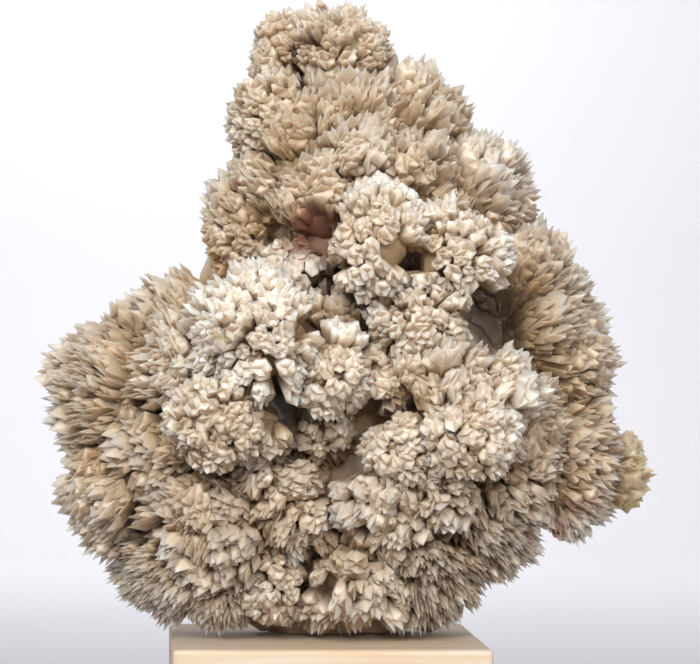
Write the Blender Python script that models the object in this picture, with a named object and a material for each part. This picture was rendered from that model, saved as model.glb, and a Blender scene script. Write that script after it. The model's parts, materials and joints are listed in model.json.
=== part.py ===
"""Calcite specimen: radiating sprays of pointed crystals grown together as one mass, on a wooden stand.

Metres, +Z up. The origin is the middle of the stand's underside. -Y is the side that the specimen shows.
"""

import math
import random

import bmesh
import bpy
from mathutils import Quaternion, Vector

# Driving dimensions, in millimetres
MM = 0.001
STAND_HEIGHT = 22.0
STAND_FRONT = -27.0
STAND_BACK = 25.0
STAND_FRONT_LEFT = -30.0
STAND_FRONT_RIGHT = 30.5
STAND_BACK_LEFT = -37.0
STAND_BACK_RIGHT = 28.5
STAND_EDGE_ROUND = 0.9
STAND_EDGE_STEPS = 2
REST_GAP = 0.3
TRIM_SPAN = 200.0
TRIM_DEPTH = 40.0

# Colours, linear
CALCITE_BEIGE = (0.60, 0.52, 0.41)
CALCITE_ROUGHNESS = 0.35
WOOD_CREAM = (0.80, 0.64, 0.44)
WOOD_ROUGHNESS = 0.60

# How a spray grows, for each millimetre of its radius: its body's girth and height, how far the body
# is set back from the spray's heart, how far its crystals reach from their root and how deep its stem
# runs into the mass. The crystals grow where the body faces within the open angle, in degrees, of the
# way that the spray grows.
HABITS = {
    "fan": {"girth": 0.74, "height": 0.95, "setback": 0.45, "reach": 2.15, "stem": 2.4, "open": 82.0},
    "knob": {"girth": 0.88, "height": 0.80, "setback": 0.12, "reach": 1.75, "stem": 2.4, "open": 88.0},
    "fine": {"girth": 0.76, "height": 0.90, "setback": 0.40, "reach": 2.10, "stem": 2.2, "open": 86.0},
    "blade": {"girth": 0.58, "height": 1.00, "setback": 0.60, "reach": 2.30, "stem": 2.6, "open": 76.0},
}
COLUMNS_PER_RADIUS = 0.72
FEWEST_COLUMNS = 5
MOST_COLUMNS = 6
BODY_ROWS = 5
BODY_ROUGHNESS = 0.13
LENGTH_SPREAD = 0.09
SEED = 44
PLACE_DIGITS = 3

# With this many crystals the exact solver gives a slightly different mesh on each run. This one doesn't.
SOLVER = "MANIFOLD"

# Each spray: name, heart (x, y, z) in mm, the way it grows, its radius in mm and its habit
SPRAYS = (
    ("top_knob", (1.5, -2.0, 144.0), (0.1, -0.45, 0.9), 8.5, "knob"),
    ("top_left_horn", (-11.5, 0.0, 144.5), (-0.75, -0.2, 0.55), 6.0, "knob"),
    ("top_left_second", (-13.5, 1.0, 139.0), (-0.95, -0.25, -0.1), 4.5, "knob"),
    ("top_back", (0.0, 6.0, 141.0), (0.1, 0.7, 0.7), 8.0, "knob"),
    ("upper_left_lobe", (-15.0, -2.0, 130.0), (-0.75, -0.4, 0.35), 7.5, "knob"),
    ("upper_spike_fan", (-5.5, -7.0, 126.5), (-0.25, -0.55, 0.8), 8.0, "fan"),
    ("upper_mid_fan", (4.5, -5.0, 132.5), (0.1, -0.4, 0.9), 8.0, "fan"),
    ("upper_right_fan", (18.5, -1.0, 131.0), (0.5, -0.35, 0.8), 9.0, "fan"),
    ("white_band_fan", (4.0, -11.5, 121.0), (0.0, -0.7, 0.7), 7.5, "fan"),
    ("fan_below_right", (15.0, -10.0, 119.5), (0.3, -0.65, 0.7), 7.5, "fan"),
    ("mid_left_fan", (-3.0, -11.0, 113.0), (-0.25, -0.65, 0.7), 8.0, "fan"),
    ("left_upper", (-18.5, -1.0, 113.5), (-0.7, -0.4, 0.55), 8.0, "fan"),
    ("left_mid_block", (-20.5, 0.0, 104.5), (-0.85, -0.45, 0.1), 6.5, "knob"),
    ("right_lobe", (32.5, 1.0, 117.5), (0.7, -0.3, 0.6), 9.5, "fan"),
    ("right_mid_fan", (23.5, -5.5, 112.5), (0.4, -0.65, 0.6), 8.0, "fan"),
    ("ridge_white", (10.0, -18.0, 108.0), (0.0, -0.75, 0.65), 5.5, "knob"),
    ("knobby_upper", (8.0, -25.0, 99.5), (-0.05, -0.97, 0.1), 7.5, "knob"),
    ("knobby_right", (24.5, -20.5, 96.0), (0.3, -0.9, 0.0), 8.0, "knob"),
    ("right_small", (36.5, 0.0, 107.0), (0.85, -0.4, 0.1), 6.5, "fan"),
    ("wing_upper", (44.5, 2.0, 97.5), (0.7, -0.2, 0.65), 9.0, "fan"),
    ("wing_mid", (48.0, 0.0, 86.5), (0.88, -0.35, 0.3), 9.5, "fan"),
    ("wing_low", (53.0, 2.0, 77.0), (0.95, -0.25, 0.0), 7.5, "fan"),
    ("center_cluster", (17.0, -21.5, 85.0), (0.1, -0.97, 0.1), 7.5, "knob"),
    ("tall_crystal", (0.5, -17.0, 88.0), (0.05, -0.65, 0.75), 5.5, "blade"),
    ("knob_small", (-5.0, -15.0, 95.5), (0.0, -0.8, 0.5), 3.5, "knob"),
    ("knob_far", (-10.0, -9.0, 98.0), (-0.4, -0.7, 0.5), 4.0, "knob"),
    ("hollow_fan", (-3.0, -7.0, 103.0), (-0.2, -0.85, 0.35), 6.5, "fan"),
    ("gap_fan", (13.0, -9.0, 92.0), (0.1, -0.9, 0.3), 6.0, "fan"),
    ("big_white_cluster", (-15.0, -29.0, 81.5), (-0.2, -0.95, 0.15), 9.5, "knob"),
    ("left_shoulder", (-36.0, 3.0, 87.5), (-0.8, -0.25, 0.42), 9.0, "fan"),
    ("pale_front_fan", (-31.0, -15.5, 77.5), (-0.65, -0.7, 0.25), 8.0, "fan"),
    ("big_left_fan", (-50.5, 0.0, 72.5), (-0.95, -0.3, 0.1), 11.5, "fan"),
    ("left_upper_rim", (-46.0, 3.0, 80.0), (-0.85, -0.25, 0.4), 8.0, "fan"),
    ("mid_cluster", (-1.0, -24.0, 75.0), (0.0, -0.97, 0.0), 6.5, "knob"),
    ("center_low", (10.0, -21.0, 74.0), (0.1, -0.95, -0.1), 5.5, "knob"),
    ("crest_fan", (22.0, -22.5, 75.5), (0.15, -0.75, 0.65), 7.5, "fan"),
    ("crest_right", (33.0, -20.0, 71.5), (0.5, -0.75, 0.45), 7.5, "fan"),
    ("fan_right_mid", (40.0, -13.0, 65.0), (0.75, -0.65, 0.05), 7.5, "fan"),
    ("block_front", (25.5, -27.5, 62.0), (0.0, -0.95, -0.15), 6.5, "knob"),
    ("knob_front_left", (-22.5, -28.5, 65.0), (-0.25, -0.95, -0.05), 7.5, "knob"),
    ("fan_left_one", (-38.0, -9.5, 59.5), (-0.8, -0.45, -0.35), 8.5, "fan"),
    ("fan_left_two", (-48.5, -2.0, 50.5), (-0.85, -0.25, -0.45), 9.0, "fan"),
    ("hanging_long", (-14.0, -21.0, 60.5), (0.05, -0.6, -0.8), 6.0, "blade"),
    ("blades_center", (-1.5, -15.0, 62.5), (0.0, -0.75, -0.6), 6.0, "blade"),
    ("knob_mid_low", (13.0, -22.0, 57.5), (-0.2, -0.85, -0.45), 6.5, "knob"),
    ("channel_fan", (-7.0, -11.0, 55.0), (-0.1, -0.9, -0.3), 6.5, "blade"),
    ("low_left_link", (-30.0, -8.0, 50.0), (-0.6, -0.7, -0.3), 7.5, "fan"),
    ("fan_left_low", (-25.5, -16.0, 44.5), (-0.45, -0.8, -0.3), 9.5, "fan"),
    ("fan_center_low", (-9.0, -15.0, 47.0), (0.05, -0.85, -0.45), 9.5, "fan"),
    ("leaf_fan_a", (9.0, -16.5, 46.0), (-0.35, -0.65, -0.65), 8.0, "fan"),
    ("leaf_fan_b", (19.0, -14.0, 49.0), (-0.1, -0.7, -0.7), 8.5, "fan"),
    ("lower_left_lobe", (-38.0, -1.0, 34.0), (-0.75, -0.3, -0.55), 8.5, "fine"),
    ("lower_left_front", (-31.0, -9.0, 33.0), (-0.4, -0.7, -0.55), 7.5, "fine"),
    ("base_left", (-22.5, -9.0, 30.0), (-0.1, -0.65, -0.7), 7.0, "fine"),
    ("base_block", (-11.5, -12.0, 32.0), (0.0, -0.85, -0.45), 6.5, "knob"),
    ("base_center", (4.0, -12.5, 31.5), (0.0, -0.7, -0.65), 8.5, "fan"),
    ("base_right", (20.5, -9.5, 32.5), (0.2, -0.65, -0.65), 8.5, "fine"),
    ("right_low_fan", (53.0, 0.0, 58.5), (0.9, -0.35, -0.1), 9.5, "fan"),
    ("right_low_fan_two", (39.5, -6.0, 52.5), (0.55, -0.7, -0.45), 8.5, "fan"),
    ("right_edge_yellow", (61.5, 8.0, 56.0), (0.97, 0.1, 0.0), 6.0, "fan"),
    ("right_low_edge", (51.0, 3.0, 47.0), (0.65, -0.25, -0.7), 5.5, "fine"),
    ("low_right_margin", (32.0, -3.5, 39.0), (0.5, -0.4, -0.75), 8.5, "fine"),
    ("back_upper_left", (-14.0, 10.0, 122.0), (-0.6, 0.7, 0.4), 8.0, "fan"),
    ("back_upper_right", (22.0, 9.0, 122.0), (0.5, 0.75, 0.4), 8.5, "fan"),
    ("back_right", (40.0, 11.0, 98.0), (0.6, 0.75, 0.2), 9.0, "fan"),
    ("back_left", (-34.0, 12.0, 82.0), (-0.6, 0.75, 0.2), 9.5, "fan"),
    ("back_left_low", (-42.0, 10.0, 56.0), (-0.75, 0.6, -0.2), 9.0, "fan"),
    ("back_right_low", (48.0, 11.0, 72.0), (0.7, 0.7, 0.0), 9.0, "fan"),
    ("back_base_left", (-24.0, 8.0, 34.0), (-0.5, 0.6, -0.6), 7.5, "fine"),
    ("back_base_right", (26.0, 8.0, 36.0), (0.5, 0.6, -0.6), 7.5, "fine"),
)

# Every stem runs back to the middle of the mass at least
MASS_MIDDLE = 3.0

# The rough mass behind the sprays: middle (x, y, z) and half sizes (x, y, z) of each lump, in mm
LUMPS = (
    ((2.0, 5.0, 132.0), (13.0, 8.0, 17.0)),
    ((8.0, 6.0, 110.0), (27.0, 11.0, 19.0)),
    ((3.0, 7.0, 82.0), (40.0, 11.0, 18.0)),
    ((3.0, 8.0, 58.0), (45.0, 10.0, 20.0)),
    ((1.0, 5.0, 38.0), (32.0, 11.0, 18.0)),
    ((-12.0, -4.0, 72.0), (14.0, 9.0, 14.0)),
    ((18.0, -4.0, 72.0), (18.0, 8.0, 18.0)),
    ((0.0, -3.0, 52.0), (20.0, 8.0, 14.0)),
)
LUMP_ROUGHNESS = 0.09
LUMP_DETAIL = 2


def clear_objects():
    """Remove whatever the open file holds."""
    for obj in list(bpy.data.objects):
        bpy.data.objects.remove(obj)


def make_material(name, colour, roughness):
    """A plain material of one colour."""
    material = bpy.data.materials.new(name)
    material.use_nodes = True
    shader = material.node_tree.nodes["Principled BSDF"]
    shader.inputs["Base Color"].default_value = (*colour, 1.0)
    shader.inputs["Roughness"].default_value = roughness
    shader.inputs["Metallic"].default_value = 0.0
    return material


def object_from_bmesh(name, bm, collection):
    """Turn a bmesh into an object in a collection."""
    bmesh.ops.recalc_face_normals(bm, faces=bm.faces)
    mesh = bpy.data.meshes.new(name)
    bm.to_mesh(mesh)
    bm.free()
    obj = bpy.data.objects.new(name, mesh)
    collection.objects.link(obj)
    return obj


def make_guide(obj):
    """Mark an object that only shapes another one."""
    obj.hide_render = True
    obj.display_type = "WIRE"


def by_place(point):
    """A sorting key, so that random draws meet vertices and faces in the same order on every run."""
    return tuple(round(value, PLACE_DIGITS) for value in (point.z, point.x, point.y))


def make_spray(spray, generator, collection):
    """A body whose outer faces each rise to a pointed crystal, all radiating from the spray's root."""
    name, heart, way, radius, habit_name = spray
    habit = HABITS[habit_name]
    direction = Vector(way).normalized()
    turn = direction.to_track_quat("Z", "Y")
    spin = Quaternion(direction, generator.uniform(0.0, 2.0 * math.pi))
    reach = habit["reach"] * radius
    root = Vector(heart) - direction * (reach - radius)
    columns = min(max(round(COLUMNS_PER_RADIUS * radius), FEWEST_COLUMNS), MOST_COLUMNS)
    middle = Vector(heart) - direction * (habit["setback"] * radius)
    bm = bmesh.new()
    bmesh.ops.create_uvsphere(bm, u_segments=columns, v_segments=BODY_ROWS, radius=1.0)
    bmesh.ops.scale(bm, vec=(habit["girth"], habit["girth"], habit["height"]), verts=bm.verts)
    ordered = sorted(bm.verts, key=lambda vert: by_place(vert.co))
    stem_end = ordered[0]
    for vert in ordered:
        swell = radius * (1.0 + generator.uniform(-BODY_ROUGHNESS, BODY_ROUGHNESS))
        vert.co = middle + spin @ turn @ vert.co * swell
    stem_end.co = Vector(heart) - direction * (habit["stem"] * radius)
    stem_end.co.y = max(stem_end.co.y, MASS_MIDDLE)
    bm.normal_update()
    limit = math.cos(math.radians(habit["open"]))
    outer = [face for face in bm.faces if face.normal.dot(direction) > limit]
    outer.sort(key=lambda face: by_place(face.calc_center_median()))
    for face in outer:
        (tip,) = bmesh.ops.poke(bm, faces=[face])["verts"]
        ray = (tip.co - root).normalized()
        length = reach * (1.0 + generator.uniform(-LENGTH_SPREAD, LENGTH_SPREAD))
        tip.co = root + ray * length
    bmesh.ops.scale(bm, vec=(MM, MM, MM), verts=bm.verts)
    obj = object_from_bmesh(name, bm, collection)
    make_guide(obj)


def make_lump(name, middle, half_sizes, generator, collection):
    """One rough lump of the mass that the sprays grow from."""
    bm = bmesh.new()
    bmesh.ops.create_icosphere(bm, subdivisions=LUMP_DETAIL, radius=1.0)
    for vert in sorted(bm.verts, key=lambda vert: by_place(vert.co)):
        swell = 1.0 + generator.uniform(-LUMP_ROUGHNESS, LUMP_ROUGHNESS)
        vert.co = Vector(
            [(c + v * h * swell) * MM for c, v, h in zip(middle, vert.co, half_sizes)]
        )
    return object_from_bmesh(name, bm, collection)


def make_trimmer(collection):
    """A slab that trims the lowest crystals level, a gap above the stand."""
    bm = bmesh.new()
    bmesh.ops.create_cube(bm, size=1.0)
    bmesh.ops.scale(bm, vec=Vector((TRIM_SPAN, TRIM_SPAN, TRIM_DEPTH)) * MM, verts=bm.verts)
    top = STAND_HEIGHT + REST_GAP
    bmesh.ops.translate(bm, vec=Vector((0.0, 0.0, top - 0.5 * TRIM_DEPTH)) * MM, verts=bm.verts)
    obj = object_from_bmesh("rest_level_guide", bm, collection)
    make_guide(obj)
    return obj


def linked_faces(face):
    """Every face that can be reached from one face across shared edges."""
    found = {face}
    waiting = [face]
    while waiting:
        for edge in waiting.pop().edges:
            for neighbour in edge.link_faces:
                if neighbour not in found:
                    found.add(neighbour)
                    waiting.append(neighbour)
    return found


def keep_outer_skin(obj):
    """Settle the Booleans and fill the small pockets that are closed in between crystals."""
    depsgraph = bpy.context.evaluated_depsgraph_get()
    grown = bpy.data.meshes.new_from_object(obj.evaluated_get(depsgraph))
    bm = bmesh.new()
    bm.from_mesh(grown)
    unseen = set(bm.faces)
    skins = []
    while unseen:
        skin = linked_faces(next(iter(unseen)))
        unseen -= skin
        skins.append(skin)
    outer = max(skins, key=len)
    pockets = [face for skin in skins if skin is not outer for face in skin]
    bmesh.ops.delete(bm, geom=pockets, context="FACES")
    bm.to_mesh(grown)
    bm.free()
    obj.modifiers.clear()
    obj.data = grown


def make_calcite(material):
    """The whole specimen as one solid: rough lumps with every spray's crystals joined on."""
    scene_collection = bpy.context.scene.collection
    growth = bpy.data.collections.new("growth_guides")
    scene_collection.children.link(growth)
    generator = random.Random(SEED)
    first, *others = LUMPS
    calcite = make_lump("calcite_crystals", *first, generator, scene_collection)
    for index, (middle, half_sizes) in enumerate(others):
        lump = make_lump(f"lump_{index}", middle, half_sizes, generator, growth)
        make_guide(lump)
    for spray in SPRAYS:
        make_spray(spray, generator, growth)
    union = calcite.modifiers.new("grown_together", "BOOLEAN")
    union.operation = "UNION"
    union.operand_type = "COLLECTION"
    union.collection = growth
    union.solver = SOLVER
    trim = calcite.modifiers.new("level_rest", "BOOLEAN")
    trim.operation = "DIFFERENCE"
    trim.object = make_trimmer(scene_collection)
    trim.solver = SOLVER
    keep_outer_skin(calcite)
    calcite.data.materials.append(material)
    return calcite


def make_stand(material):
    """The sawn wooden block, its left side cut at an angle."""
    bm = bmesh.new()
    corners = (
        (STAND_FRONT_LEFT, STAND_FRONT),
        (STAND_FRONT_RIGHT, STAND_FRONT),
        (STAND_BACK_RIGHT, STAND_BACK),
        (STAND_BACK_LEFT, STAND_BACK),
    )
    base = bm.faces.new([bm.verts.new(Vector((x, y, 0.0)) * MM) for x, y in corners])
    raised = bmesh.ops.extrude_face_region(bm, geom=[base])["geom"]
    top_verts = [item for item in raised if isinstance(item, bmesh.types.BMVert)]
    bmesh.ops.translate(bm, vec=(0.0, 0.0, STAND_HEIGHT * MM), verts=top_verts)
    stand = object_from_bmesh("wooden_stand", bm, bpy.context.scene.collection)
    bevel = stand.modifiers.new("worn_edges", "BEVEL")
    bevel.width = STAND_EDGE_ROUND * MM
    bevel.segments = STAND_EDGE_STEPS
    stand.data.materials.append(material)
    return stand


def main():
    clear_objects()
    make_calcite(make_material("calcite", CALCITE_BEIGE, CALCITE_ROUGHNESS))
    make_stand(make_material("sawn_wood", WOOD_CREAM, WOOD_ROUGHNESS))


main()
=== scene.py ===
"""Calcite specimen of radiating pointed crystal sprays grown as one mass, on a plain wooden stand.

Metres, +Z up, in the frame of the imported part. -Y is the side that the specimen shows.
"""

import json
import math
import random

import bmesh
import bpy
import numpy as np
from bpy.props import FloatProperty, FloatVectorProperty, IntProperty, PointerProperty
from mathutils import Matrix, Quaternion, Vector, noise
from mathutils.bvhtree import BVHTree

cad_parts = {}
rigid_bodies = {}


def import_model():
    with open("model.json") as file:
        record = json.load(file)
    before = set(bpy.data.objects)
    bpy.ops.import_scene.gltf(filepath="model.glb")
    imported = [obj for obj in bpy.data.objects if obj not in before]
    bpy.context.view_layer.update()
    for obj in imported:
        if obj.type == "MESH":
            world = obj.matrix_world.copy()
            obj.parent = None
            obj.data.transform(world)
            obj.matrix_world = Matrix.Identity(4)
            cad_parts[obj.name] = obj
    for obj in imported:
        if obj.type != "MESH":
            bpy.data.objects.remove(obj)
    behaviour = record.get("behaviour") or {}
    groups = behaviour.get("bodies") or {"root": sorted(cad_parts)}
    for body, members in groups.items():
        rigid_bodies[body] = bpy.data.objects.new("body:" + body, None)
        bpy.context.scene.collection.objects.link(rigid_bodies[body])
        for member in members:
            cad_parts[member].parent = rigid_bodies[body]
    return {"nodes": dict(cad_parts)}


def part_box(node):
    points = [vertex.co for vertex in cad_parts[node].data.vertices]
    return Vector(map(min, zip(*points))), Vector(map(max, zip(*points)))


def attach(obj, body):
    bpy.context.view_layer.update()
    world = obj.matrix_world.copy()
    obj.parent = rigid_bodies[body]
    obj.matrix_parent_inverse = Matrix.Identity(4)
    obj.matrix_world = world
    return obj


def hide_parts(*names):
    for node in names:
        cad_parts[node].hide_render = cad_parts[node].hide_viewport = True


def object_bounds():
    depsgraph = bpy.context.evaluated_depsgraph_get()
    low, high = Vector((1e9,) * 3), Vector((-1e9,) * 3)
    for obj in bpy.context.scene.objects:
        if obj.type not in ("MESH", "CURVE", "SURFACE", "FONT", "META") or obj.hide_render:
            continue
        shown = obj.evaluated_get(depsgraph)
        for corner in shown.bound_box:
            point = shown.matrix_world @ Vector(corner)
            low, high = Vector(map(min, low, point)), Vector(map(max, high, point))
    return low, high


bl_info = {
    "name": "Calcite specimen",
    "version": (1, 0, 0),
    "blender": (4, 5, 0),
    "location": "3D View > Sidebar > Specimen",
    "description": "Grows a calcite specimen of crystal sprays and finishes its wooden stand",
    "category": "Object",
}

for held in list(bpy.data.objects):
    bpy.data.objects.remove(held)
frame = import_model()
CAD_LOW, CAD_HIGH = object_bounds()
STAND_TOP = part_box("wooden_stand")[1].z

MM = 0.001
SEED = 7
SOLVER = "MANIFOLD"
REST_GAP = 0.3 * MM
TRIM_SPAN = 0.2
TRIM_DEPTH = 0.04
# Etched calcite has soft edges: only edges sharper than this stay crisp
SOFT_EDGE = math.radians(62.0)

# How a spray grows, for each unit of its radius: how far its crystals reach from their root, how far
# its stem runs into the mass, the widest angle in degrees between a crystal and the way that the spray
# grows, and how far its solid body's middle lies from the root, with that body's girth and height
HABITS = {
    "fan": {
        "reach": 2.15, "stem": 2.4, "open": 54.0, "core_middle": 0.45, "core_girth": 0.84, "core_height": 0.82,
    },
    "knob": {
        "reach": 1.75, "stem": 2.4, "open": 74.0, "core_middle": 0.35, "core_girth": 0.86, "core_height": 0.70,
    },
    "fine": {
        "reach": 2.10, "stem": 2.2, "open": 56.0, "core_middle": 0.45, "core_girth": 0.84, "core_height": 0.82,
    },
    "blade": {
        "reach": 2.30, "stem": 2.6, "open": 42.0, "core_middle": 0.50, "core_girth": 0.72, "core_height": 0.95,
    },
    "rough": {
        "reach": 1.75, "stem": 1.6, "open": 70.0, "core_middle": 0.35, "core_girth": 0.86, "core_height": 0.70,
    },
}

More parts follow.
